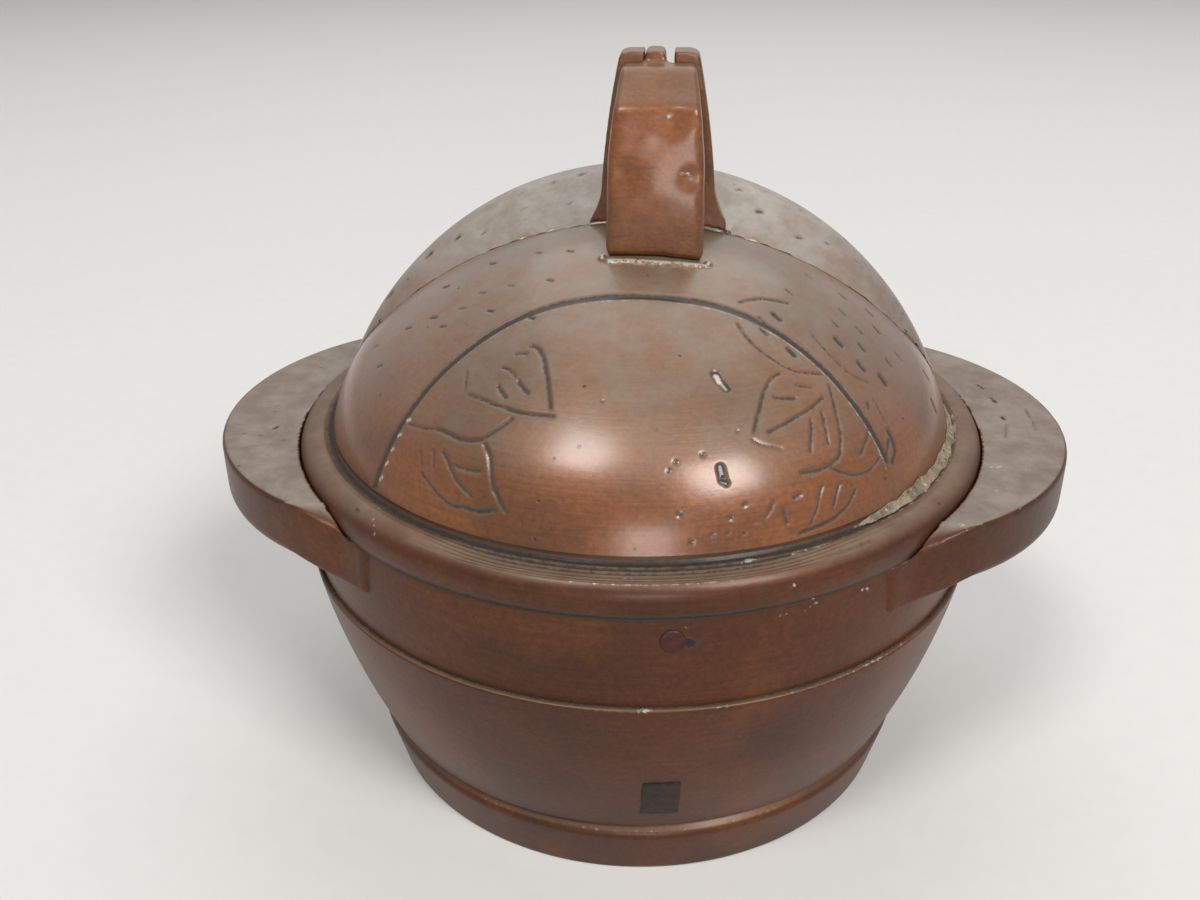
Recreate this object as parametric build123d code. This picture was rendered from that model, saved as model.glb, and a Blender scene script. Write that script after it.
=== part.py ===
from build123d import *
from math import asin, degrees, sqrt
import os

# Lidded bronze inkwell: a round vessel with two flat lugs and a hanging ceramic ink
# liner, and a lift-off lid with a low front lobe, a higher rear lobe and a two-armed
# handle. Millimetres, +Z up, origin at the centre of the foot ring's underside. The
# lugs lie along X and the low front lobe faces -Y.

os.makedirs("parts", exist_ok=True)

# ---------------------------------------------------------------- foot ring and base plate
foot_bottom_radius = 31.8
foot_flare = 1.7              # the ring's side leans out this much up to its shoulder
foot_shoulder_height = 6.4
foot_shoulder_rise = 1.0      # from the shoulder up to the V-groove under the bowl
foot_shoulder_round = 1.0
foot_edge_round = 0.4
foot_wall = 2.8
foot_rebate_width = 1.5       # step that the base plate is let into
base_recess = 2.5             # the base plate lies this far above the table
base_thickness = 2.0
groove_depth = 1.1

# ---------------------------------------------------------------- bowl
bowl_rim_radius = 39.6        # the vessel, the lid and the lugs all follow this radius
bowl_rim_height = 28.6
bowl_foot_inset = 0.1         # from the ring's shoulder in to the bowl's side
bowl_foot_rise = 0.5
bowl_belly_drop = 2.25        # the side is half-way out this far below its middle
bowl_rim_round = 0.35
bowl_wall = 2.4

# ---------------------------------------------------------------- collar band
ledge_width = 0.6             # the bowl's rim shows this much outside the collar
collar_swell = 0.2
collar_draw_in = 0.1          # the mouth is this much narrower than the collar's foot
collar_wall = 2.7
collar_height = 10.6

# ---------------------------------------------------------------- liner seat and ink liner
seat_width = 5.9
seat_thickness = 1.6
liner_seat_clearance = 0.5    # between the liner's cup and the seat's hole
liner_taper = 4.3
liner_floor_gap = 2.0         # between the liner and the base plate
liner_rim_clearance = 0.8     # between the liner's flange and the collar
liner_flange_thickness = 1.8
liner_wall = 2.2
liner_corner_round = 3.5
liner_lip_round = 0.7

# ---------------------------------------------------------------- lugs
lug_reach = 10.6              # from the collar's mouth out to the tip
lug_plan_radius = 28.5        # each lug is part of a flat disc
lug_rise = 2.5                # the top stands this far above the mouth
lug_tip_thickness = 6.9
lug_root_drop = 1.2           # the underside dips this much where it meets the collar
lug_root_round = 12.0         # hollow in plan where its side runs into the collar
lug_top_share = 0.86          # above the mouth the lug is this share of its width
lug_edge_round = 0.5
lug_under_round = 1.6

# ---------------------------------------------------------------- filled casting holes
round_plug_radius = 1.25
round_plug_x = 5.1
round_plug_drop = 2.8         # its centre below the mouth
square_plug_width = 4.1
square_plug_tall = 6.3
square_plug_x = 3.9
square_plug_drop = 4.1        # its centre below the middle of the bowl's side

# ---------------------------------------------------------------- lid rim and flange
rim_foot_overhang = 0.5       # the bead's foot and belly stand out from the collar's mouth
rim_overhang = 0.8
rim_belly_rise = 1.0          # rises of the rim are measured from the mouth
rim_crest_inset = 2.2         # from the belly in to the top of the rounded bead
rim_crest_rise = 4.0
rim_crest_width = 1.0
rim_channel_depth = 0.3       # the channel just inside the bead
lobe_seat_inset = 3.7         # from the belly in to the foot of the lobes
lobe_seat_width = 2.5
lobe_seat_rise = 4.4
rim_clearance = 0.3           # between the bead and the lugs
flange_clearance = 0.3        # between the locating flange and the collar
flange_wall = 1.6
flange_liner_gap = 2.5        # between the locating flange and the liner

# ---------------------------------------------------------------- lobes of the lid
ball_overhang = 1.0           # the lobes' sphere is this much wider than their seat
crease_end_inset = 2.0        # where the crease runs out on that sphere
crease_end_rise = 4.9
front_crown_rise = 21.4       # from the lobes' seat up to the front lobe's crown
rear_shoulder_shift = 26.0    # the rear shoulder's sphere is centred this far back
lobe_wall = 2.0
front_shoulder_round = 7.0
rear_shoulder_round = 7.0
crease_round = 0.5

# ---------------------------------------------------------------- handle
# Rises of the handle are measured from the front lobe's crown.
handle_x = 2.0                # the handle is soldered on slightly off centre
front_foot_y = -9.5
front_waist_y = -8.6
front_waist_rise = 8.8
front_knee_y = -7.5
front_knee_rise = 13.9
front_bend_y = -3.2
front_bend_rise = 17.1
front_top_rise = 17.5
front_arm_thickness = 3.4
front_foot_width = 10.5
front_waist_width = 10.1
front_knee_width = 8.9
front_top_width = 7.8
knee_round = 1.5
arm_edge_round = 0.5
rear_foot_y = 0.2
rear_top_y = -1.0
rear_arm_thickness = 3.3
rear_foot_width = 15.2
rear_flare_width = 13.3
rear_flare_rise = 1.8
rear_low_width = 12.4
rear_low_rise = 4.5
rear_middle_width = 10.6
rear_middle_rise = 12.0
rear_bend_rise = 14.5
rear_top_width = 8.2
rear_corner_round = 1.0
handle_rise = 18.6
notch_width = 3.1
notch_depth = 2.6
tongue_width = 2.3
tongue_offset = -0.4
tongue_overhang = 0.2         # the tongue stands this far over and behind the rear arm
tongue_shoulder = 0.4         # and starts this far in front of it
tongue_round = 0.4

# ---------------------------------------------------------------- radii that follow
foot_top_radius = foot_bottom_radius + foot_flare
foot_inner_radius = foot_bottom_radius - foot_wall
foot_rebate_radius = foot_inner_radius + foot_rebate_width
groove_radius = foot_top_radius - groove_depth
bowl_bottom_radius = foot_top_radius - bowl_foot_inset
bowl_middle_radius = (bowl_bottom_radius + bowl_rim_radius) / 2
collar_bottom_radius = bowl_rim_radius - ledge_width
collar_middle_radius = collar_bottom_radius + collar_swell
collar_top_radius = collar_bottom_radius - collar_draw_in
collar_inner_radius = collar_top_radius - collar_wall
seat_inner_radius = collar_inner_radius - seat_width
liner_top_radius = seat_inner_radius - liner_seat_clearance
liner_bottom_radius = liner_top_radius - liner_taper
liner_flange_radius = collar_inner_radius - liner_rim_clearance
lug_tip_x = collar_top_radius + lug_reach
lug_centre_x = lug_tip_x - lug_plan_radius
lug_blend_radius = collar_top_radius - collar_draw_in / 2
lug_root_x = collar_inner_radius / 2
lug_top_half_length = lug_top_share * lug_plan_radius
rim_foot_radius = collar_top_radius + rim_foot_overhang
rim_radius = collar_top_radius + rim_overhang
rim_crest_radius = rim_radius - rim_crest_inset
rim_channel_radius = rim_crest_radius - rim_crest_width
lobe_seat_radius = rim_radius - lobe_seat_inset
rim_inner_radius = lobe_seat_radius - lobe_seat_width
flange_radius = collar_inner_radius - flange_clearance
ball_radius = lobe_seat_radius + ball_overhang
crease_end_radius = lobe_seat_radius - crease_end_inset

# ---------------------------------------------------------------- heights that follow
foot_height = foot_shoulder_height + foot_shoulder_rise
bowl_bottom_height = foot_height + bowl_foot_rise
bowl_middle_height = (bowl_bottom_height + bowl_rim_height) / 2 - bowl_belly_drop
mouth_height = bowl_rim_height + collar_height
collar_middle_height = (bowl_rim_height + mouth_height) / 2
seat_top_height = bowl_rim_height + seat_thickness
liner_flange_top = seat_top_height + liner_flange_thickness
liner_bottom_height = base_recess + base_thickness + liner_floor_gap
lug_top_height = mouth_height + lug_rise
round_plug_height = mouth_height - round_plug_drop
square_plug_height = (foot_height + bowl_rim_height) / 2 - square_plug_drop
rim_belly_height = mouth_height + rim_belly_rise
rim_crest_height = mouth_height + rim_crest_rise
rim_channel_height = rim_crest_height - rim_channel_depth
lobe_seat_height = mouth_height + lobe_seat_rise
flange_depth = mouth_height - liner_flange_top - flange_liner_gap
crease_end_height = lobe_seat_height + crease_end_rise
front_crown_height = lobe_seat_height + front_crown_rise
front_waist_height = front_crown_height + front_waist_rise
front_knee_height = front_crown_height + front_knee_rise
front_bend_height = front_crown_height + front_bend_rise
front_top_height = front_crown_height + front_top_rise
rear_flare_height = front_crown_height + rear_flare_rise
rear_low_height = front_crown_height + rear_low_rise
rear_middle_height = front_crown_height + rear_middle_rise
rear_bend_height = front_crown_height + rear_bend_rise
handle_top_height = front_crown_height + handle_rise
handle_foot_height = front_crown_height - front_arm_thickness
rear_arm_top_height = handle_top_height - tongue_overhang

# ---------------------------------------------------------------- spheres of the lobes
cap_rise = front_crown_height - crease_end_height
cap_radius = (cap_rise**2 + crease_end_radius**2) / (2 * cap_rise)
cap_height = front_crown_height - cap_radius
ball_height = crease_end_height - sqrt(ball_radius**2 - crease_end_radius**2)
rear_cap_radius = sqrt(cap_radius**2 + rear_shoulder_shift**2)
reach = 2 * lug_tip_x         # size of the blocks that only trim other shapes
up = (Align.CENTER, Align.CENTER, Align.MIN)


def at(*points):
    """(radius, height) pairs as points of the XZ plane."""
    return [(radius, 0, height) for radius, height in points]


def line(*points):
    return Polyline(*at(*points))


def turned(outline):
    """Revolve a closed outline in the XZ plane about the Z axis."""
    return revolve(make_face(outline), Axis.Z)


def block(x_span, y_span, z_span):
    sizes = [span[1] - span[0] for span in (x_span, y_span, z_span)]
    corner = Pos(x_span[0], y_span[0], z_span[0])
    return corner * Box(*sizes, align=(Align.MIN,) * 3)


def rings_of(shape, radius):
    """The circular edges of one radius."""
    circles = shape.edges().filter_by(GeomType.CIRCLE)
    return circles.filter_by(lambda edge: abs(edge.radius - radius) < 1e-3)


# ---------------------------------------------------------------- vessel
def make_foot_ring():
    ring = turned(line(
        (foot_inner_radius, 0),
        (foot_bottom_radius, 0),
        (foot_top_radius, foot_shoulder_height),
        (groove_radius, foot_height),
        (foot_rebate_radius, foot_height),
        (foot_rebate_radius, base_recess),
        (foot_inner_radius, base_recess),
        (foot_inner_radius, 0),
    ))
    ring = fillet(rings_of(ring, foot_top_radius), foot_shoulder_round)
    return fillet(rings_of(ring, foot_bottom_radius), foot_edge_round)


def make_base_plate():
    return Pos(0, 0, base_recess) * Cylinder(foot_rebate_radius, base_thickness, align=up)


def square_plug_blank():
    blank = block(
        (-square_plug_width / 2, square_plug_width / 2),
        (-bowl_rim_radius, -foot_inner_radius),
        (-square_plug_tall / 2, square_plug_tall / 2),
    )
    turn = degrees(asin(square_plug_x / bowl_bottom_radius))
    return Pos(0, 0, square_plug_height) * Rot(0, 0, turn) * blank


def make_plain_bowl():
    bottom, middle, rim = at(
        (bowl_bottom_radius, bowl_bottom_height),
        (bowl_middle_radius, bowl_middle_height),
        (bowl_rim_radius, bowl_rim_height),
    )
    inner_bottom, inner_middle, inner_rim = at(
        (foot_rebate_radius, foot_height),
        (bowl_middle_radius - bowl_wall, bowl_middle_height),
        (bowl_rim_radius - bowl_wall, bowl_rim_height),
    )
    outline = (
        line((foot_rebate_radius, foot_height), (groove_radius, foot_height),
             (bowl_bottom_radius, bowl_bottom_height))
        + ThreePointArc(bottom, middle, rim)
        + Line(rim, inner_rim)
        + ThreePointArc(inner_rim, inner_middle, inner_bottom)
    )
    bowl = turned(outline)
    return fillet(rings_of(bowl, bowl_rim_radius), bowl_rim_round)


def round_plug_blank():
    rod = Pos(0, -collar_inner_radius, 0) * Rot(90, 0, 0) * Cylinder(
        round_plug_radius, 4 * bowl_wall
    )
    turn = degrees(asin(round_plug_x / collar_middle_radius))
    return Pos(0, 0, round_plug_height) * Rot(0, 0, turn) * rod


def collar_side():
    """Slightly barrelled outer line of the collar, from its foot to the mouth."""
    return ThreePointArc(*at(
        (collar_bottom_radius, bowl_rim_height),
        (collar_middle_radius, collar_middle_height),
        (collar_top_radius, mouth_height),
    ))


def make_plain_collar():
    return turned(
        collar_side()
        + line((collar_top_radius, mouth_height), (collar_inner_radius, mouth_height),
               (collar_inner_radius, bowl_rim_height), (collar_bottom_radius, bowl_rim_height))
    )


def make_collar_core():
    """The collar filled to the axis, which trims the lugs to its outer face."""
    return turned(
        collar_side()
        + line((collar_top_radius, mouth_height), (0, mouth_height),
               (0, bowl_rim_height), (collar_bottom_radius, bowl_rim_height))
    )


def lug_plan():
    """The lug's disc run into the collar by hollow rounds, as one flat face."""
    plan = Circle(lug_blend_radius) + Pos(lug_centre_x, 0) * Circle(lug_plan_radius)
    roots = plan.vertices().filter_by(lambda vertex: abs(vertex.Y) > 1)
    return fillet(roots, lug_root_round)


def make_lug(side):
    underside = lug_top_height - lug_tip_thickness
    bottom = underside - lug_root_drop
    lug = Pos(0, 0, bottom) * extrude(lug_plan(), amount=lug_top_height - bottom)
    lug &= turned(line(
        (collar_inner_radius, bottom),
        (collar_middle_radius, bottom),
        (collar_middle_radius + 2 * lug_root_drop, underside),
        (reach, underside),
        (reach, lug_top_height),
        (collar_inner_radius, lug_top_height),
        (collar_inner_radius, bottom),
    ))
    lug -= block((-reach, lug_root_x), (-reach, reach), (0, reach))
    for y_span in ((-reach, -lug_top_half_length), (lug_top_half_length, reach)):
        lug -= block((-reach, reach), y_span, (mouth_height, reach))
    top_edge = rings_of(lug, lug_plan_radius).group_by(Axis.Z)[-1]
    lug = fillet(top_edge, lug_edge_round)
    under_edge = rings_of(lug, lug_plan_radius).filter_by(
        lambda edge: abs(edge.center().Z - underside) < 1e-3
    )
    lug = fillet(under_edge, lug_under_round)
    lug -= make_collar_core()
    bead_room = Cylinder(rim_radius + rim_clearance, reach, align=up)
    lug -= Pos(0, 0, mouth_height) * bead_room
    return lug if side > 0 else mirror(lug, about=Plane.YZ)


def make_liner_seat():
    ring = Cylinder(collar_inner_radius, seat_thickness, align=up)
    ring -= Cylinder(seat_inner_radius, seat_thickness, align=up)
    return Pos(0, 0, bowl_rim_height) * ring


# ---------------------------------------------------------------- liner
def make_ink_liner():
    inner_top = liner_top_radius - liner_wall
    inner_bottom = liner_bottom_radius - liner_wall
    inner_floor = liner_bottom_height + liner_wall
    liner = turned(line(
        (0, liner_bottom_height),
        (liner_bottom_radius, liner_bottom_height),
        (liner_top_radius, seat_top_height),
        (liner_flange_radius, seat_top_height),
        (liner_flange_radius, liner_flange_top),
        (inner_top, liner_flange_top),
        (inner_bottom, inner_floor),
        (0, inner_floor),
        (0, liner_bottom_height),
    ))
    liner = fillet(rings_of(liner, liner_bottom_radius), liner_corner_round)
    liner = fillet(rings_of(liner, inner_bottom), liner_corner_round)
    return fillet(rings_of(liner, inner_top), liner_lip_round)


# ---------------------------------------------------------------- lid rim and flange
def make_lid_rim():
    swell = 0.7 * (rim_radius - rim_foot_radius)
    foot, lower, belly, crest = at(
        (rim_foot_radius, mouth_height),
        (rim_foot_radius + swell, (mouth_height + rim_belly_height) / 2),
        (rim_radius, rim_belly_height),
        (rim_crest_radius, rim_crest_height),
    )
    return turned(
        ThreePointArc(foot, lower, belly)
        + TangentArc(belly, crest, tangent=(0, 0, 1))
        + line(
            (rim_crest_radius, rim_crest_height),
            (rim_channel_radius, rim_channel_height),
            (lobe_seat_radius, lobe_seat_height),
            (rim_inner_radius, lobe_seat_height),
            (rim_inner_radius, mouth_height),
            (rim_foot_radius, mouth_height),
        )
    )


def make_locating_flange():
    ring = Cylinder(flange_radius, flange_depth, align=up)
    ring -= Cylinder(flange_radius - flange_wall, flange_depth, align=up)
    return Pos(0, 0, mouth_height - flange_depth) * ring


# ---------------------------------------------------------------- lobes
def lobe_form(shift, cap_sphere_radius, inset, rounding):
    """The ball, flattened by a larger sphere centred `shift` behind the lid's axis."""
    drop = ball_height - cap_height
    distance = sqrt(drop**2 + shift**2)
    ball_r = ball_radius - inset
    cap_r = cap_sphere_radius - inset
    meet_height = (cap_r**2 - ball_r**2 - distance**2) / (2 * distance)
    meet_radius = sqrt(ball_r**2 - meet_height**2)
    half_radius = meet_radius / 2
    pole, equator, meeting, above, crown = at(
        (0, -ball_r),
        (ball_r / sqrt(2), -ball_r / sqrt(2)),
        (meet_radius, meet_height),
        (half_radius, sqrt(cap_r**2 - half_radius**2) - distance),
        (0, cap_r - distance),
    )
    face = make_face(
        ThreePointArc(pole, equator, meeting)
        + ThreePointArc(meeting, above, crown)
        + Line(crown, pole)
    )
    corner = face.vertices().sort_by(Axis.X)[-1]
    form = revolve(fillet(corner, rounding), Axis.Z)
    return Plane(origin=(0, 0, ball_height), z_dir=(0, -shift, drop)) * form


def front_form(inset):
    return lobe_form(0, cap_radius, inset, front_shoulder_round - inset)


def rear_form(inset):
    return lobe_form(rear_shoulder_shift, rear_cap_radius, inset, rear_shoulder_round - inset)


def half_lobe(form, y_span):
    """One side of the crease, above the rim, as a shell with its crease edge eased."""
    solid = form(0) & block((-reach, reach), y_span, (lobe_seat_height, reach))
    crease = solid.edges().filter_by(
        lambda edge: abs(edge.center().Y) < 1e-3 and edge.geom_type != GeomType.LINE
    )
    return fillet(crease, crease_round) - form(lobe_wall)


def make_front_lobe():
    return half_lobe(front_form, (-reach, 0))


def make_rear_lobe():
    return half_lobe(rear_form, (0, reach))


# ---------------------------------------------------------------- handle
def in_side_view(*points):
    return [(0, y, z) for y, z in points]


def across(outline, corners=0, rounding=0):
    """A (y, z) outline, some of its corners rounded, extruded across the handle."""
    face = make_face(outline)
    if corners:
        chosen = [
            vertex for vertex in face.vertices()
            if any(abs(vertex.Y - y) + abs(vertex.Z - z) < 1e-3 for y, z in corners)
        ]
        face = fillet(chosen, rounding)
    return extrude(face, amount=rear_foot_width, dir=(1, 0, 0), both=True)


def front_to_back(*right_side):
    """Edges of the right-hand side of a front view, mirrored and made solid."""
    right = Curve() + list(right_side)
    left = mirror(right, about=Plane.YZ)
    low, high = right @ 0, right @ 1
    outline = right + left + Line(low, (-low.X, 0, low.Z)) + Line(high, (-high.X, 0, high.Z))
    return extrude(make_face(outline), amount=reach, dir=(0, 1, 0), both=True)


def seated(arm):
    """Shift an arm to the handle's place and cut its foot to the lobes."""
    arm = Pos(handle_x, 0, 0) * arm
    return arm - front_form(0) - rear_form(0)


def make_handle_front_arm():
    thickness = front_arm_thickness
    foot, waist, knee, bend, end = in_side_view(
        (front_foot_y, handle_foot_height),
        (front_waist_y, front_waist_height),
        (front_knee_y, front_knee_height),
        (front_bend_y, front_bend_height),
        (rear_top_y, front_top_height),
    )
    inner_end, inner_bend, inner_knee, inner_waist, inner_foot = in_side_view(
        (rear_top_y, front_top_height - thickness),
        (front_bend_y + thickness / 4, front_bend_height - thickness),
        (front_knee_y + thickness, front_knee_height - thickness / 2),
        (front_waist_y + thickness, front_waist_height),
        (front_foot_y + thickness, handle_foot_height),
    )
    outline = (
        ThreePointArc(foot, waist, knee)
        + Polyline(knee, bend, end, inner_end, inner_bend, inner_knee)
        + ThreePointArc(inner_knee, inner_waist, inner_foot)
        + Line(inner_foot, foot)
    )
    bends = [(front_knee_y, front_knee_height), (front_bend_y, front_bend_height)]
    half_foot, half_waist, half_knee, half_top = at(
        (front_foot_width / 2, handle_foot_height),
        (front_waist_width / 2, front_waist_height),
        (front_knee_width / 2, front_knee_height),
        (front_top_width / 2, front_top_height),
    )
    arm = across(outline, bends, knee_round) & front_to_back(
        Line(half_foot, half_waist),
        ThreePointArc(half_waist, half_knee, half_top),
    )
    top_corner = front_top_width / 2 - arm_edge_round
    front_edges = arm.edges().filter_by(
        lambda edge: abs(edge.center().X) > top_corner
        and edge.center().Z > handle_foot_height + 1
        and on_front(edge)
    )
    arm = fillet(front_edges, arm_edge_round)
    tongue = block(
        (tongue_offset - tongue_width / 2, tongue_offset + tongue_width / 2),
        (rear_top_y - tongue_shoulder, rear_top_y + rear_arm_thickness + tongue_overhang),
        (rear_arm_top_height - notch_depth, handle_top_height),
    )
    tongue = fillet(tongue.edges().filter_by(Axis.Y).group_by(Axis.Z)[-1], tongue_round)
    return seated(arm + tongue)


def on_front(edge):
    """Whether an edge of the front arm lies on its front or upper face."""
    middle = edge @ 0.5
    slope = (front_knee_y - front_foot_y) / (front_knee_height - handle_foot_height)
    face_y = front_foot_y + slope * (middle.Z - handle_foot_height)
    return middle.Y < face_y + 1 or middle.Z > front_knee_height and middle.Y - middle.Z < (
        front_bend_y - front_bend_height + 2
    )


def make_handle_rear_arm():
    thickness = rear_arm_thickness
    outline = Polyline(*in_side_view(
        (rear_foot_y, handle_foot_height),
        (rear_foot_y, rear_low_height),
        (rear_top_y, rear_bend_height),
        (rear_top_y, rear_arm_top_height),
        (rear_top_y + thickness, rear_arm_top_height),
        (rear_top_y + thickness, rear_bend_height),
        (rear_foot_y + thickness, rear_low_height),
        (rear_foot_y + thickness, handle_foot_height),
    ), close=True)
    foot, shoe, flare, low, middle, top = at(
        (rear_foot_width / 2, handle_foot_height),
        (rear_foot_width / 2, front_crown_height),
        (rear_flare_width / 2, rear_flare_height),
        (rear_low_width / 2, rear_low_height),
        (rear_middle_width / 2, rear_middle_height),
        (rear_top_width / 2, rear_arm_top_height),
    )
    arm = across(outline) & front_to_back(
        Line(foot, shoe),
        ThreePointArc(shoe, flare, low),
        ThreePointArc(low, middle, top),
    )
    corners = arm.edges().filter_by(
        lambda edge: edge.center().Z > rear_arm_top_height - 1e-3
        and abs(edge.center().X) > rear_top_width / 2 - 1e-3
    )
    arm = fillet(corners, rear_corner_round)
    arm -= block(
        (-notch_width / 2, notch_width / 2),
        (-reach, reach),
        (rear_arm_top_height - notch_depth, reach),
    )
    return seated(arm)


def save(name, shape):
    shape.label = name
    export_step(shape, f"parts/{name}.step")


plain_bowl = make_plain_bowl()
plain_collar = make_plain_collar()
save("foot_ring", make_foot_ring())
save("base_plate", make_base_plate())
save("bowl", plain_bowl - square_plug_blank())
save("square_plug", plain_bowl & square_plug_blank())
save("collar_band", plain_collar - round_plug_blank())
save("round_plug", plain_collar & round_plug_blank())
save("left_lug", make_lug(-1))
save("right_lug", make_lug(1))
save("liner_seat", make_liner_seat())
save("ink_liner", make_ink_liner())
save("lid_rim", make_lid_rim())
save("locating_flange", make_locating_flange())
save("front_lobe", make_front_lobe())
save("rear_lobe", make_rear_lobe())
save("handle_front_arm", make_handle_front_arm())
save("handle_rear_arm", make_handle_rear_arm())
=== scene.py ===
import math

import bpy
import numpy as np
from mathutils import Matrix, Vector


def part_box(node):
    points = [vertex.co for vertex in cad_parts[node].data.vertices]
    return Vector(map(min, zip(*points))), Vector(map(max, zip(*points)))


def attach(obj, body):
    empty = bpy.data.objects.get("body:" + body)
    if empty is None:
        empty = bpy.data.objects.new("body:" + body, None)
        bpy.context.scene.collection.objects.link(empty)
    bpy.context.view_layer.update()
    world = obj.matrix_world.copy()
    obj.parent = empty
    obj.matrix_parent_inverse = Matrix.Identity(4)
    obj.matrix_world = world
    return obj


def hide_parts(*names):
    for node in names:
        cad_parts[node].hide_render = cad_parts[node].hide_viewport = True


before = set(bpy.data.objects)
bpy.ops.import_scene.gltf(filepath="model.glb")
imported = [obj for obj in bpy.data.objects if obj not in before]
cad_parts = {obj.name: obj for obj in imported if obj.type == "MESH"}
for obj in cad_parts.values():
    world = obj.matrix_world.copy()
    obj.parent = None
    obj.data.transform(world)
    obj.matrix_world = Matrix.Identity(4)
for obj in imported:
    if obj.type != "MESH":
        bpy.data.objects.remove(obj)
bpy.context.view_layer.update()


# ------------------------------ foot ring
# A turned ring of cast bronze under the bowl. Its upright band is rubbed smooth by handling, its
# shoulder carries a pale painted highlight, and the groove where it meets the bowl is painted dark as shade.
MM = 0.001
foot_outline = [
    (29.0, 0.0, 0.2), (31.8, 0.0, 0.4), (33.45, 6.3, 1.0), (32.4, 7.4, 0.0), (30.5, 7.4, 0.0),
    (30.5, 2.5, 0.0), (29.0, 2.5, 0.2), (29.0, 0.0, 0.2),
]


def rounded(corners, step=0.6):
    """Rounds each corner (radius, height, rounding, in mm) and divides the runs into short steps."""
    points = []
    for index, corner in enumerate(corners):
        here = Vector((corner[0], 0, corner[1]))
        if index in (0, len(corners) - 1) or corner[2] == 0:
            points.append(here)
            continue
        back = (Vector((corners[index - 1][0], 0, corners[index - 1][1])) - here).normalized()
        on = (Vector((corners[index + 1][0], 0, corners[index + 1][1])) - here).normalized()
        half = back.angle(on) / 2
        centre = here + (back + on).normalized() * corner[2] / math.sin(half)
        start = here + back * corner[2] / math.tan(half) - centre
        end = here + on * corner[2] / math.tan(half) - centre
        points += [centre + start.slerp(end, turn / 6).normalized() * start.length for turn in range(7)]
    path = [points[0]]
    for a, b in zip(points, points[1:]):
        cuts = max(1, math.ceil((b - a).length / step))
        path += [a.lerp(b, cut / cuts) for cut in range(1, cuts + 1)]
    return [(p.x, p.z) for p in path]


def deselect():
    if bpy.context.object and bpy.context.object.mode != "OBJECT":
        bpy.ops.object.mode_set(mode="OBJECT")
    bpy.ops.object.select_all(action="DESELECT")


def spun(name, outline, steps=256, angle=360):
    """Extrudes an outline (radius, height, in mm) from one vertex and spins it round the upright axis."""
    deselect()
    start = (outline[0][0] * MM, 0, outline[0][1] * MM)
    bpy.ops.mesh.primitive_plane_add(size=MM, location=start)
    piece = bpy.context.object
    piece.name = name
    bpy.ops.object.transform_apply(location=True)
    bpy.ops.object.mode_set(mode="EDIT")
    bpy.ops.mesh.merge(type="CENTER")
    for a, b in zip(outline, outline[1:]):
        move = ((b[0] - a[0]) * MM, 0, (b[1] - a[1]) * MM)
        bpy.ops.mesh.extrude_region_move(TRANSFORM_OT_translate={"value": move})
    bpy.ops.mesh.select_all(action="SELECT")
    bpy.ops.mesh.spin(steps=steps, angle=math.radians(angle), center=(0, 0, 0), axis=(0, 0, 1))
    bpy.ops.mesh.select_all(action="SELECT")
    bpy.ops.mesh.remove_doubles(threshold=2e-6)
    bpy.ops.mesh.normals_make_consistent(inside=False)
    bpy.ops.object.mode_set(mode="OBJECT")
    return piece


def uneven(piece, strength, grain):
    """Hand finishing leaves soft hollows: cloud-shaped dips, `strength` deep and `grain` across, in mm."""
    clouds = bpy.data.textures.new(piece.name + "_hollows", "CLOUDS")
    clouds.noise_scale = grain * MM
    clouds.noise_depth = 1
    waves = piece.modifiers.new("hollows", "DISPLACE")
    waves.texture = clouds
    waves.texture_coords = "LOCAL"
    waves.mid_level = 0.75
    waves.strength = strength * MM
    bpy.context.view_layer.objects.active = piece
    bpy.ops.object.modifier_apply(modifier=waves.name)


def smooth(piece, angle=35):
    deselect()
    piece.select_set(True)
    bpy.context.view_layer.objects.active = piece
    bpy.ops.object.shade_smooth_by_angle(angle=math.radians(angle))


def vertex_places(piece):
    """Every vertex of the piece, in mm."""
    places = np.zeros(len(piece.data.vertices) * 3)
    piece.data.vertices.foreach_get("co", places)
    return places.reshape(-1, 3) * 1000


def place_vertices(piece, places):
    """Moves every vertex of the piece to its place, in mm."""
    piece.data.vertices.foreach_set("co", (places * MM).ravel())


def eased(share):
    """Holds a share between 0 and 1 and softens its change at both ends."""
    share = np.clip(share, 0, 1)
    return share * share * (3 - 2 * share)


def reach_of(places, strokes):
    """How far each place lies inside the strokes: 1 on a stroke's edge, 1 more for each mm inside it."""
    inside = np.zeros(len(places))
    for half_width, path in strokes:
        path = [np.array(p, float) for p in path]
        for a, b in zip(path, path[1:] if len(path) > 1 else path):
            along = b - a
            share = np.clip((places - a) @ along / max(along @ along, 1e-9), 0, 1)
            gap = np.linalg.norm(places - a - share[:, None] * along, axis=1)
            inside = np.maximum(inside, 1 + half_width - gap)
    return inside


def mark(piece, kind, strokes, sink=0.0):
    """Writes strokes into the mesh for the finish to read, and sinks them (or raises them, below 0)
    by `sink` mm. A stroke's wall starts 0.15 mm outside its edge and is 0.35 mm wide."""
    places = vertex_places(piece)
    inside = reach_of(places, strokes)
    layer = piece.data.attributes.new(kind, "FLOAT", "POINT")
    layer.data.foreach_set("value", inside)
    if sink:
        normals = np.zeros(len(places) * 3)
        piece.data.vertex_normals.foreach_get("vector", normals)
        depth = sink * eased((inside - 0.85) / 0.35)
        place_vertices(piece, places - normals.reshape(-1, 3) * depth[:, None])
        piece.data.update()


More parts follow.
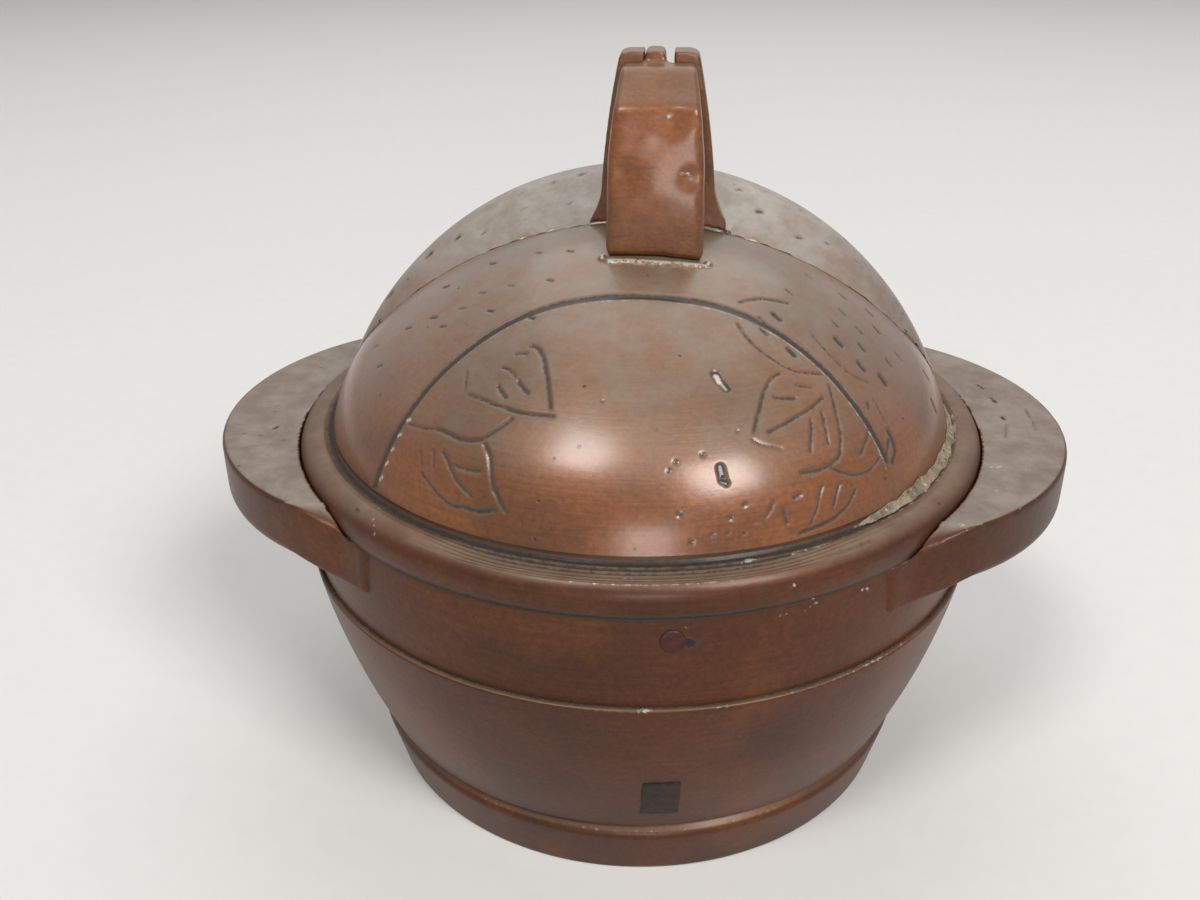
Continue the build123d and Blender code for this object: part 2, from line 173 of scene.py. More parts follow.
def refine(piece, strokes, within):
    """Divides the faces within so many mm of the strokes, so that a fine line has vertices to follow it."""
    deselect()
    faces = np.zeros(len(piece.data.polygons) * 3)
    piece.data.polygons.foreach_get("center", faces)
    inside = reach_of(faces.reshape(-1, 3) * 1000, strokes)
    piece.data.polygons.foreach_set("select", inside > 1 - within)
    bpy.context.view_layer.objects.active = piece
    bpy.ops.object.mode_set(mode="EDIT")
    bpy.ops.mesh.select_mode(type="FACE")
    bpy.ops.mesh.subdivide(number_cuts=1)
    bpy.ops.mesh.select_mode(type="VERT")
    bpy.ops.object.mode_set(mode="OBJECT")


def around(radius, height, start=0, end=360, step=4):
    """A path round the upright axis, from one compass angle to another (degrees, mm)."""
    count = max(1, math.ceil(abs(end - start) / step))
    turns = [math.radians(start + (end - start) * k / count) for k in range(count + 1)]
    return [(radius * math.cos(t), radius * math.sin(t), height) for t in turns]


def srgb(code):
    """An sRGB hex colour as the linear values that the shader takes."""
    parts = [int(code[k:k + 2], 16) / 255 for k in (1, 3, 5)]
    return [p / 12.92 if p < 0.04045 else ((p + 0.055) / 1.055) ** 2.4 for p in parts] + [1]


def set_inputs(tree, node, inputs):
    """Gives a node's inputs their values, or links them to the nodes or sockets that feed them."""
    for key, value in inputs.items():
        if isinstance(value, bpy.types.Node):
            value = value.outputs[0]
        if isinstance(value, bpy.types.NodeSocket):
            tree.links.new(value, node.inputs[key])
        else:
            node.inputs[key].default_value = value


def add_node(tree, kind, inputs={}, **settings):
    """One new node with its inputs and settings."""
    made = tree.nodes.new("ShaderNode" + kind)
    for key, value in settings.items():
        setattr(made, key, value)
    set_inputs(tree, made, inputs)
    return made


def new_material(name):
    """A new material, its node tree and its shader."""
    material = bpy.data.materials.new(name)
    material.use_nodes = True
    return material, material.node_tree, material.node_tree.nodes["Principled BSDF"]


def patinated_bronze(name, brown, umber, dust_and_sheen_colour, dust_and_sheen_share, dullness, wax, dust_and_sheen_from=0.45):
    """Cast bronze with an old brown patina under wax: brown metal tones in clouds of 16 and 4 mm,
    hair-fine lines of the lathe round the axis, grey oxide dust where it faces up, which is also a painted
    sheen, dark dirt in tooled lines with a halo of painted shade, bare metal where edges are rubbed,
    which also serves as painted highlights, and pale or green crust in the joints. The wax gives a broad,
    soft shine."""
    material, tree, shader = new_material(name)
    soft = {"interpolation_type": "SMOOTHSTEP"}
    place = add_node(tree, "TexCoord")
    spot = place.outputs["Object"]
    clouds, blotches, grain = (
        add_node(tree, "TexNoise", {
            "Vector": spot, "Scale": 1 / (size * MM), "Detail": detail, "Roughness": rough})
        for size, detail, rough in ((16, 4.0, 0.6), (4, 5.0, 0.65), (0.6, 3.0, 0.7))
    )
    axes = add_node(tree, "SeparateXYZ", {0: spot})
    flat = add_node(tree, "CombineXYZ", {0: axes.outputs[0], 1: axes.outputs[1]})
    radius = add_node(tree, "VectorMath", {0: flat}, operation="LENGTH").outputs["Value"]
    turn = add_node(tree, "Math", {0: axes.outputs[1], 1: axes.outputs[0]}, operation="ARCTAN2")
    lathe_pitch = 0.3 * MM
    stretch = add_node(tree, "CombineXYZ", {
        0: add_node(tree, "Math", {0: turn, 1: 4.0}, operation="MULTIPLY"),
        1: add_node(tree, "Math", {0: radius, 1: 1 / lathe_pitch}, operation="MULTIPLY"),
        2: add_node(tree, "Math", {0: axes.outputs[2], 1: 1 / lathe_pitch}, operation="MULTIPLY"),
    })
    lathe = add_node(tree, "TexNoise", {"Vector": stretch, "Scale": 1.0, "Detail": 3.0, "Roughness": 0.6})
    # tones of the patina: brown and umber clouds, glints of warmer bronze
    share = add_node(tree, "MapRange", {"Value": clouds, "From Min": 0.33, "From Max": 0.66}, **soft)
    tone = add_node(tree, "MixRGB", {"Fac": share, "Color1": srgb(umber), "Color2": srgb(brown)})
    hues = add_node(tree, "SeparateColor", {0: clouds.outputs["Color"]})
    share = add_node(tree, "MapRange", {
        "Value": hues.outputs[1], "From Min": 0.48, "From Max": 0.68, "To Max": 0.16}, **soft)
    tone = add_node(tree, "MixRGB", {"Fac": share, "Color1": tone, "Color2": srgb("#8d5226")})
    share = add_node(tree, "MapRange", {
        "Value": blotches, "From Min": 0.5, "From Max": 0.72, "To Max": 0.3}, **soft)
    tone = add_node(tree, "MixRGB", {"Fac": share, "Color1": tone, "Color2": srgb(umber)})
    for layer, dark, light in ((grain, 0.76, 1.2), (lathe, 0.86, 1.14)):
        share = add_node(tree, "MapRange", {
            "Value": layer, "From Min": 0.3, "From Max": 0.7, "To Min": dark, "To Max": light})
        tone = add_node(tree, "MixRGB", {"Fac": 1.0, "Color1": tone, "Color2": share}, blend_type="MULTIPLY")
    # grey oxide dust on what faces up, which is also a painted sheen of the pale room above
    facing = add_node(tree, "SeparateXYZ", {0: place.outputs["Normal"]}).outputs[2]
    upward = add_node(tree, "MapRange", {
        "Value": facing, "From Min": dust_and_sheen_from, "From Max": 1.0, "To Max": dust_and_sheen_share}, **soft)
    patchy = add_node(tree, "MapRange", {
        "Value": blotches, "From Min": 0.36, "From Max": 0.6, "To Min": 1.0, "To Max": 0.6})
    dust_and_sheen = add_node(tree, "Math", {0: upward, 1: patchy}, operation="MULTIPLY")
    tone = add_node(tree, "MixRGB", {"Fac": dust_and_sheen, "Color1": tone, "Color2": srgb(dust_and_sheen_colour)})
    # scattered casting specks of 0.3 mm, about 4 mm apart
    specks = add_node(tree, "TexVoronoi", {"Vector": spot, "Scale": 1 / (4 * MM), "Randomness": 1.0})
    speck = add_node(tree, "MapRange", {
        "Value": specks.outputs["Distance"],
        "From Min": 0.03, "From Max": 0.06, "To Min": 0.75, "To Max": 0.0})
    tone = add_node(tree, "MixRGB", {"Fac": speck, "Color1": tone, "Color2": srgb("#1f1611")})
    # dirt in the tooled lines, broken along their edges, with a narrow halo of painted shade; the same marks
    # paint shade into joints and under overhangs
    ragged = add_node(tree, "Math", {0: grain, 1: 0.6, 2: -0.3}, operation="MULTIPLY_ADD")
    tooling_and_shade = add_node(tree, "Attribute", attribute_name="tooling_and_shade").outputs["Fac"]
    tooled = add_node(tree, "Math", {0: tooling_and_shade, 1: ragged}, operation="ADD")
    dirt_and_shade_halo = add_node(tree, "MapRange", {
        "Value": tooled, "From Min": 0.72, "From Max": 1.0, "To Max": 0.3}, **soft)
    core = add_node(tree, "MapRange", {
        "Value": tooled, "From Min": 0.95, "From Max": 1.1, "To Max": 0.93}, **soft)
    dirt_and_shade = add_node(tree, "Math", {0: dirt_and_shade_halo, 1: core}, operation="MAXIMUM")
    deep = add_node(tree, "MapRange", {"Value": tooled, "From Min": 1.1, "From Max": 1.3}, **soft)
    soil = add_node(tree, "MixRGB", {"Fac": deep, "Color1": srgb("#352d25"), "Color2": srgb("#15110e")})
    tone = add_node(tree, "MixRGB", {"Fac": dirt_and_shade, "Color1": tone, "Color2": soil})
    # bare metal on rubbed edges, and painted highlights along edges that catch the light
    rubbed = add_node(tree, "Attribute", attribute_name="rubbed").outputs["Fac"]
    rubbed = add_node(tree, "Math", {0: rubbed, 1: ragged}, operation="ADD")
    wear_and_highlight = add_node(tree, "MapRange", {
        "Value": rubbed, "From Min": 0.85, "From Max": 1.15, "To Max": 0.85}, **soft)
    tone = add_node(tree, "MixRGB", {"Fac": wear_and_highlight, "Color1": tone, "Color2": srgb("#cbbdae")})
    # mineral crust, chalk with a little verdigris
    crust = add_node(tree, "Attribute", attribute_name="crust").outputs["Fac"]
    broken = add_node(tree, "Math", {0: grain, 1: 1.6, 2: -0.85}, operation="MULTIPLY_ADD")
    crumbs = add_node(tree, "Math", {0: crust, 1: broken}, operation="ADD")
    crusted = add_node(tree, "MapRange", {
        "Value": crumbs, "From Min": 0.95, "From Max": 1.2, "To Max": 0.85}, **soft)
    green = add_node(tree, "MapRange", {"Value": blotches, "From Min": 0.5, "From Max": 0.62, "To Max": 0.7})
    mineral = add_node(tree, "MixRGB", {"Fac": green, "Color1": srgb("#aca595"), "Color2": srgb("#84a8a2")})
    tone = add_node(tree, "MixRGB", {"Fac": crusted, "Color1": tone, "Color2": mineral})
    # shine: dulled by oxide dust, lathe lines, dirt with its painted shade and crust, keener where it is
    # rubbed bare or painted as a highlight
    soiled = add_node(tree, "Math", {0: dirt_and_shade, 1: crusted}, operation="MAXIMUM")
    dull = dullness - 0.05
    for layer, share in ((dust_and_sheen, 0.1), (lathe, 0.14), (soiled, 0.3), (wear_and_highlight, -0.12)):
        dull = add_node(tree, "Math", {0: layer, 1: share, 2: dull}, operation="MULTIPLY_ADD")
    bare = add_node(tree, "MapRange", {"Value": soiled, "To Min": 0.35, "To Max": 0.0})
    bare = add_node(tree, "Math", {0: wear_and_highlight, 1: 0.3, 2: bare}, operation="MULTIPLY_ADD")
    # relief, in tenths of a mm: lathe lines, grain and blotches, the specks sunk, the crust raised
    relief = 0.0
    for layer, share in ((lathe, 0.3), (grain, 0.4), (blotches, 0.9), (speck, -1.5), (crusted, 1.2)):
        relief = add_node(tree, "Math", {0: layer, 1: share, 2: relief}, operation="MULTIPLY_ADD")
    bump = add_node(tree, "Bump", {"Height": relief, "Strength": 0.5, "Distance": 0.1 * MM})
    set_inputs(tree, shader, {
        "Base Color": tone, "Roughness": dull, "Metallic": bare, "Normal": bump,
        "Specular IOR Level": 0.3, "Coat Weight": wax, "Coat Roughness": 0.21,
    })
    return material


def finish(piece, material, body, slot, *nodes):
    """Gives a piece its finish and says which body it rides on and which solids it stands for."""
    piece.data.materials.clear()
    piece.data.materials.append(material)
    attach(piece, body)
    if nodes:
        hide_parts(*nodes)


# the vessel's bronze is a darker brown than the lid's, as painted shade
turned_bronze_painted_shade = patinated_bronze(
    "patinated_bronze_turned_painted_shade", "#502912", "#40220f", "#8a7762", dust_and_sheen_share=0.6, dullness=0.42, wax=0.15)
foot = spun("foot_ring_turned", rounded(foot_outline))
uneven(foot, 0.08, 9)
# the groove above the shoulder is painted dark as shade; a pale line on the shoulder, strongest at the
# front, is a painted highlight
mark(foot, "tooling_and_shade", [(0.2, around(32.5, 7.35))])
mark(foot, "rubbed", [(0.1, around(33.25, 6.85, -128, -58)), (-0.1, around(33.25, 6.85, -58, 232))])
smooth(foot)
finish(foot, turned_bronze_painted_shade, "vessel", "bronze", "foot_ring")


# ------------------------------ base plate, liner seat and locating flange
# Plain discs and rings of the same bronze, turned and soldered inside the vessel and the lid.
# They keep their own solids and only take the finish.
for name in ("base_plate", "liner_seat", "locating_flange"):
    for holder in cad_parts[name].material_slots:
        holder.material = turned_bronze_painted_shade


# ------------------------------ bowl
# The cast and turned bowl, its side swelling up to a thin ledge under the collar. The ledge's lip
# carries a pale painted highlight, and the corner above the foot ring and the ledge's inner edge are painted
# dark as shade.
def bow(low, middle, high, step=0.6):
    """Points (radius, height) on a smooth curve through three, from low to high."""
    count = math.ceil(abs(high[1] - low[1]) / step)
    heights = [low[1] + (high[1] - low[1]) * k / count for k in range(count + 1)]
    curve = np.polyfit([low[1], middle[1], high[1]], [low[0], middle[0], high[0]], 2)
    return [(float(np.polyval(curve, h)), h) for h in heights]


bowl_outline = (
    rounded([(30.5, 7.4, 0.0), (32.4, 7.4, 0.0), (33.4, 7.9, 0.0)])
    + bow((33.4, 7.9), (36.5, 16.0), (39.55, 28.2))[1:]
    + rounded([(39.55, 28.2, 0), (39.6, 28.6, 0.3), (39.0, 28.6, 0.0), (37.2, 28.6, 0.0)])[1:]
    + bow((37.2, 28.6), (34.1, 16.0), (30.5, 7.4))[1:]
)
bowl = spun("bowl_turned", bowl_outline)
uneven(bowl, 0.12, 14)
# the rings in the corner above the foot ring and at the ledge's inner edge are painted shade
mark(bowl, "tooling_and_shade", [
    (0.3, around(33.2, 7.8)), (0.14, around(39.05, 28.62)),
    (0.5, around(35.0, 11.9, -86, -84.6, 1)), (0.3, around(34.6, 10.6, -86.6, -84.6, 1)),
])
# the pale ring on the ledge's lip, stronger at the front, is a painted highlight
mark(bowl, "rubbed", [(-0.2, around(39.55, 28.5)), (-0.1, around(39.55, 28.5, -100, -82))])
mark(bowl, "crust", [
    (0.25, around(39.5, 28.6, -87, -85)), (0.25, around(39.5, 28.6, -76, -74.5)),
    (0.05, around(39.4, 28.6, -66, -35)), (-0.1, around(33.3, 8.0, -75, -50)),
])
smooth(bowl)
finish(bowl, turned_bronze_painted_shade, "vessel", "bronze", "bowl")


# ------------------------------ collar band
# A slightly barrelled band of bronze, soldered on the bowl's rim to carry the lugs and the lid.
# It is painted darkest under the lid's bead, as shade, and has crumbs of lime on its right.
collar_outline = (
    bow((38.98, 28.6), (39.2, 33.9), (38.9, 39.0))
    + rounded([
        (38.9, 39.0, 0), (38.85, 39.2, 0.15), (36.2, 39.2, 0.2), (36.2, 28.6, 0), (38.98, 28.6, 0),
    ])[1:]
)
collar = spun("collar_band_turned", collar_outline)
uneven(collar, 0.1, 12)
# the rings under the lid's bead and at the foot above the ledge are painted shade
mark(collar, "tooling_and_shade", [
    (0.12, around(39.0, 28.7)), (0.5, around(38.9, 39.2)), (0.7, around(39.1, 36.1, -80.6, -79.9)),
])
mark(collar, "crust", [
    (0.5, around(39.1, 36.1, -41.4, -40.8)), (0.2, around(39.0, 37.9, -54, -52)),
    (0.25, around(39.0, 38.2, -63, -61)), (0.25, around(39.0, 37.6, -63, -62.6)),
    (0.15, around(39.0, 38.0, -67.5, -66)), (0.0, around(38.9, 38.9, -70, -30)),
    (0.1, around(39.1, 37.8, -81.2, -79.8)), (0.1, around(39.1, 36.9, -79.4, -79.0)),
])
smooth(collar)
finish(collar, turned_bronze_painted_shade, "vessel", "bronze", "collar_band")


# ------------------------------ side lugs
# Two flat half-round grips of cast bronze, soldered to the collar and filed flat on top with a
# fine worn bevel. Their tops are grey with dust and a painted sheen, with scratches and dots; their side
# walls are red-brown, darkened as painted shade.
def rub_soft(piece, passes, group=""):
    """Smooths a piece's mesh as rubbing does, all over or only in one group of its vertices."""
    rub = piece.modifiers.new("rubbed", "SMOOTH")
    rub.vertex_group = group
    rub.factor = 0.5
    rub.iterations = passes
    bpy.ops.object.modifier_apply(modifier=rub.name)


def softened(name, node, voxel, passes):
    """A copy of a solid with its loose triangles merged, remeshed evenly and its edges rubbed soft."""
    deselect()
    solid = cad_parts[node]
    piece = bpy.data.objects.new(name, solid.data.copy())
    bpy.context.collection.objects.link(piece)
    piece.select_set(True)
    bpy.context.view_layer.objects.active = piece
    bpy.ops.object.mode_set(mode="EDIT")
    bpy.ops.mesh.select_all(action="SELECT")
    bpy.ops.mesh.remove_doubles(threshold=2e-6)
    bpy.ops.object.mode_set(mode="OBJECT")
    grid = piece.modifiers.new("even mesh", "REMESH")
    grid.mode = "VOXEL"
    grid.voxel_size = voxel * MM
    bpy.ops.object.modifier_apply(modifier=grid.name)
    rub_soft(piece, passes)
    return piece


lug_top = 41.7
plan_centre, plan_radius = 21.0, 28.25
ramp_start, ramp_run, ramp_fall = 24.25, 4.75, 2.5
ramp_level, ramp_inner = 38.95, 39.75
root_radius, flare, flare_skin = 39.45, 6.0, 1.5
collar_draw, bead_draw = 0.4, 0.3
bead_under, bead_clear, bead_fade = 39.3, 39.8, 41
# the vessel's darker brown, as painted shade, with grey dust and a painted sheen on the flat tops
lug_bronze_painted_shade = patinated_bronze(
    "patinated_bronze_filed_painted_shade", "#502912", "#40220f", "#978c80",
    dust_and_sheen_share=0.85, dullness=0.46, wax=0.15, dust_and_sheen_from=0.8)
lug_marks = {
    "left_lug": {
        "tooling_and_shade": [
            (0.12, [(-43.8, -2.5)]), (0.2, [(-42.2, -6.6), (-42.3, -7.2)]), (0.15, [(-45.4, -8.7)]),
            (0.1, [(-43.3, -11.8)]), (0.14, [(-40.3, -10.1)]), (0.1, [(-41.0, -13.9)]),
        ],
        "crust": [(0.1, [(-45.3, -8.2)]), (0.12, [(-43.4, -11.2), (-42.6, -12.2)])],
        "rubbed": [],
    },
    "right_lug": {
        "tooling_and_shade": [
            (0.15, [(42.1, 10.4), (42.6, 9.2)]), (0.24, [(43.0, 6.4), (43.2, 5.2)]),
            (0.22, [(43.1, 1.2), (43.2, 0.3)]), (0.05, [(46.3, 3.4), (46.4, 0.5), (46.2, -2.3)]),
            (0.05, [(43.1, -1.0), (42.3, -4.6)]),
        ],
        "crust": [
            (0.3, [(39.2, -12.0), (40.1, -11.8)]), (0.15, [(37.1, -19.4)]),
            (0.1, [(37.7, -16.8), (38.8, -17.6)]), (0.1, [(39.5, -5.0), (39.4, -7.8)]),
            (0.3, [(33.6, -24.6), (33.9, -25.0)]),
        ],
        "rubbed": [
            (-0.1, [(46.0, -3.6), (45.6, -6.0), (43.8, -10.5), (41.5, -14.8), (40.4, -16.2)]),
            (-0.14, [(43.3, -3.0), (42.3, -6.0), (40.5, -9.7), (38.6, -13.6)]),
        ],
    },
}
for side, toward in (("left_lug", -1), ("right_lug", 1)):
    lug = softened(side + "_filed", side, 0.23, 3)
    # the top slopes down to the collar's edge at both ends
    places = vertex_places(lug)
    radius = np.hypot(places[:, 0], places[:, 1])
    across = abs(places[:, 1])
    ramp = (across > ramp_start) & (places[:, 2] > ramp_level) & (radius > ramp_inner)
    places[ramp, 2] = lug_top - ramp_fall * eased((across - ramp_start) / ramp_run)[ramp]
    place_vertices(lug, places)
    rub_soft(lug, 6)
    # the side wall runs out into the collar in a small flare
    places = vertex_places(lug)
    radius = np.hypot(places[:, 0], places[:, 1])
    out = np.clip(radius - root_radius, 0, 0.18 * flare)
    depth = plan_radius - np.hypot(abs(places[:, 0]) - plan_centre, places[:, 1])
    slide = 0.3 * flare + out / 0.6 - np.sqrt(2 * flare * out)
    slide *= np.clip(1 - depth / flare_skin, 0, 1)
    bearing = np.arctan2(abs(places[:, 1]), abs(places[:, 0])) + slide / root_radius
    places[:, 0] = np.sign(places[:, 0]) * radius * np.cos(bearing)
    places[:, 1] = np.sign(places[:, 1]) * radius * np.sin(bearing)
    # the inner wall is drawn against the collar, and clear of the lid's bead above it
    above = places[:, 2] > bead_under
    to_bead = bead_draw * np.clip(bead_fade - radius, 0, 1)
    to_collar = collar_draw * np.clip((root_radius - radius) / collar_draw, 0, 1)
    drawn = np.where(above, np.maximum(radius - to_bead, bead_clear), radius - to_collar)
    places[:, :2] *= (drawn / radius)[:, None]
    place_vertices(lug, places)
    lug.data.update()
    middle = 90 - 90 * toward
    edge = [(x + toward * plan_centre, y, z)
            for x, y, z in around(plan_radius, lug_top - 0.15, middle - 52, middle + 52)]
    for kind, strokes in lug_marks[side].items():
        strokes = [(size, [(x, y, lug_top) for x, y in path]) for size, path in strokes]
        if kind == "rubbed":
            strokes.append((-0.12, edge))
        mark(lug, kind, strokes, 0.08 if kind == "tooling_and_shade" else 0.0)
    smooth(lug, 60)
    finish(lug, lug_bronze_painted_shade, "vessel", "bronze", side)


# ------------------------------ filled casting holes
# A round plug of dark red copper in the collar and a blackened square patch in the bowl fill two
# casting holes. Both were hammered in cold and stand a hair proud of the bronze.
def filler(name, colour, edge, roughness):
    """Hammered copper alloy: dark and close-grained, satin where it was struck, dull at its edge."""
    material, tree, shader = new_material(name)
    spot = add_node(tree, "TexCoord").outputs["Object"]
    lumps = add_node(tree, "TexNoise", {"Vector": spot, "Scale": 1 / (0.9 * MM), "Detail": 4.0})
    share = add_node(tree, "MapRange", {"Value": lumps, "From Min": 0.4, "From Max": 0.62})
    tone = add_node(tree, "MixRGB", {"Fac": share, "Color1": srgb(colour), "Color2": srgb(edge)})
    bump = add_node(tree, "Bump", {"Height": lumps, "Strength": 0.6, "Distance": 0.15 * MM})
    dull = add_node(tree, "MapRange", {
        "Value": lumps, "To Min": roughness - 0.15, "To Max": roughness + 0.15})
    set_inputs(tree, shader, {"Base Color": tone, "Roughness": dull, "Metallic": 0.4, "Normal": bump})
    return material


proud = 0.15
plugs = (
    ("round_plug", "red_plug", filler("dark_red_copper", "#451917", "#2e1211", 0.42), 0.15),
    ("square_plug", "dark_plug", filler("blackened_bronze", "#1d1714", "#38241a", 0.6), 0.2),
)
for node, slot, material, voxel in plugs:
    plug = softened(node + "_filling", node, voxel, 3)
    low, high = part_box(node)
    outward = Vector(((low.x + high.x) / 2, (low.y + high.y) / 2, 0)).normalized()
    bpy.ops.object.mode_set(mode="EDIT")
    bpy.ops.mesh.select_all(action="SELECT")
    bpy.ops.transform.translate(value=outward * proud * MM)
    bpy.ops.object.mode_set(mode="OBJECT")
    smooth(plug, 50)
    finish(plug, material, "vessel", slot, node)


# ------------------------------ ink liner
# A loose cup of thrown stoneware that holds the ink, glazed cream inside and out, its flange
# resting on the seat. Dried ink has stained its lower part, inside and out.
def glazed_stoneware(name):
    """Clear glaze over pale clay: smooth and wet-looking, faintly speckled with iron, and stained
    blue-black by dried ink up to about 22 mm."""
    material, tree, shader = new_material(name)
    spot = add_node(tree, "TexCoord").outputs["Object"]
    height = add_node(tree, "SeparateXYZ", {0: spot}).outputs[2]
    flat = add_node(tree, "VectorMath", {0: spot, 1: (1, 1, 0)}, operation="MULTIPLY")
    radius = add_node(tree, "VectorMath", {0: flat}, operation="LENGTH").outputs["Value"]
    iron = add_node(tree, "TexNoise", {"Vector": spot, "Scale": 1 / (0.9 * MM), "Detail": 2.0})
    cloud = add_node(tree, "TexNoise", {"Vector": spot, "Scale": 1 / (9 * MM), "Detail": 4.0})
    share = add_node(tree, "MapRange", {"Value": iron, "From Min": 0.66, "From Max": 0.72})
    tone = add_node(tree, "MixRGB", {"Fac": cloud, "Color1": srgb("#d9cfb8"), "Color2": srgb("#c9bda2")})
    tone = add_node(tree, "MixRGB", {"Fac": share, "Color1": tone, "Color2": srgb("#7a6248")})
    inner = add_node(tree, "MapRange", {
        "Value": radius, "From Min": 27.75 * MM, "From Max": 27.9 * MM, "To Min": 1.0, "To Max": 0.0})
    wavy = add_node(tree, "Math", {0: cloud, 1: 7 * MM, 2: 18 * MM}, operation="MULTIPLY_ADD")
    below = add_node(tree, "Math", {0: wavy, 1: height}, operation="SUBTRACT")
    stain = add_node(tree, "MapRange", {"Value": below, "From Max": 1.5 * MM, "To Max": 0.85})
    stain = add_node(tree, "Math", {0: stain, 1: inner}, operation="MULTIPLY")
    tone = add_node(tree, "MixRGB", {"Fac": stain, "Color1": tone, "Color2": srgb("#1a1c2a")})
    dull = add_node(tree, "MapRange", {"Value": iron, "To Min": 0.10, "To Max": 0.26})
    bump = add_node(tree, "Bump", {"Height": cloud, "Strength": 0.3, "Distance": 0.2 * MM})
    set_inputs(tree, shader, {"Base Color": tone, "Roughness": dull, "Normal": bump})
    return material


liner_outline = rounded([
    (0.0, 6.5, 0), (25.5, 6.5, 3.5), (29.8, 30.2, 0.4), (35.4, 30.2, 0.4), (35.4, 32.0, 0.5),
    (27.6, 32.0, 0.7), (23.3, 8.7, 3.5), (0.0, 8.7, 0),
], 0.8)
liner = spun("ink_liner_thrown", liner_outline, 192)
uneven(liner, 0.08, 10)
smooth(liner)
finish(liner, glazed_stoneware("glazed_stoneware"), "liner", "glaze", "ink_liner")


# ------------------------------ lid rim
# The lid's broad rolled bead and the narrow channel inside it, turned in one piece. At the front
# its inner slope was scraped flat and scored, and wax and dirt lie in the scores. A pale line on the
# bead's crest at the front is a painted highlight, and the bead's lower edge is painted dark as shade.
bead_middle, bead_level, bead_reach, bead_rise = 37.45, 41.0, 2.24, 2.2
slope_start, slope_width, slope_top = 36.5, 2.4, 42.86
slope_inner, slope_outer, slope_low = 36.4, 38.9, 42
scrape_middle, scrape_half, scrape_fade = -88, 38, 20
score_pitch, score_wave, score_depth = 0.48, 0.04, 0.12


def bead_height(radius):
    """How high the rolled bead stands at a radius (mm)."""
    return bead_level + bead_rise * math.sqrt(max(0, 1 - ((radius - bead_middle) / bead_reach) ** 2))


def slope_height(radius):
    """How high the scraped slope lies at a radius (mm): it falls outward and is a little hollow."""
    out = radius - slope_start
    return slope_top - 0.09 * out - 0.2 * np.sin(math.pi * out / slope_width)


bead = [(bead_middle + bead_reach * math.cos(t), bead_level + bead_rise * math.sin(t))
        for t in np.radians(np.linspace(4, 90, 48))]
rim_outline = (
    [(39.4, 39.2), (39.48, 39.5), (39.56, 39.8), (39.63, 40.2), (39.67, 40.6), (39.69, 41.0)] + bead
    + rounded([
        (37.45, 43.2, 0), (36.9, 43.14, 0.6), (36.4, 42.85, 0.3), (36.05, 42.95, 0.2), (35.8, 43.3, 0.2),
        (35.72, 43.6, 0),
    ], 0.12)[1:]
    + [(33.5, 43.6), (33.5, 39.2), (39.4, 39.2)]
)
rim = spun("lid_rim_turned", rim_outline, 400)
uneven(rim, 0.06, 10)
places = vertex_places(rim)
radius = np.hypot(places[:, 0], places[:, 1])
turn = np.degrees(np.arctan2(places[:, 1], places[:, 0]))
scraped = eased((scrape_half - abs(turn - scrape_middle)) / scrape_fade)
scraped[(radius < slope_inner) | (radius > slope_outer) | (places[:, 2] < slope_low)] = 0
level = slope_height(radius)
level -= score_wave - score_wave * np.cos(2 * math.pi * (radius - slope_start) / score_pitch)
places[:, 2] += scraped * (level - places[:, 2])
place_vertices(rim, places)
scores = []
for k in range(5):
    r = slope_start + score_pitch * (k + 0.5)
    scores.append((0.24 - 0.11 * k, around(r, slope_height(r) - score_depth, -122 - 3 * k, -56 + 3 * k)))
# the ring at the bead's lower edge, over the collar, is painted shade
mark(rim, "tooling_and_shade", scores + [
    (0.1, around(35.8, 43.3)), (0.38, around(36.15, 42.9)), (0.35, around(39.45, 39.2)),
    (0.26, [(13.0, -37.45, 41.3), (13.2, -37.3, 41.5)]), (0.1, [(17.9, -34.5, bead_height(38.9))]),
    (0.06, around(38.6, bead_height(38.6), -68, -67)), (0.03, around(38.0, bead_height(38.0), -60, -58)),
    (0.2, around(38.6, bead_height(38.6), -134.8, -134.2)),
    (0.05, around(38.5, bead_height(38.5), -60, -52)), (0.0, around(37.9, bead_height(37.9), -58, -46)),
])
# the pale line along the bead's crest at the front is a painted highlight; the short slip across the bead is
# a scratch
slip = np.radians((-132.4, -131.4, -129.8, -128.4))
mark(rim, "rubbed", [
    (-0.04, around(38.95, bead_height(38.97), -97, -76)),
    (-0.14, around(38.95, bead_height(38.97), -110, -66)),
    (0.03, [(r * math.cos(t), r * math.sin(t), bead_height(r))
            for r, t in zip((36.9, 38.0, 38.8, 39.5), slip)]),
])
mark(rim, "crust", [
    (0.16, around(36.8, 42.75, -64, -52)), (0.14, around(36.5, 42.8, -73, -69)),
    (0.12, around(37.7, 42.6, -89.2, -88.2)), (0.2, around(39.6, 41.4, -65.9, -65.6)),
    (0.12, around(36.7, 43.0, -52, -2)), (-0.1, around(36.9, 43.1, -60, 10)),
    (-0.05, around(36.6, 43.0, -150, -125)),
])
smooth(rim, 50)
finish(rim, turned_bronze_painted_shade, "lid", "bronze", "lid_rim")


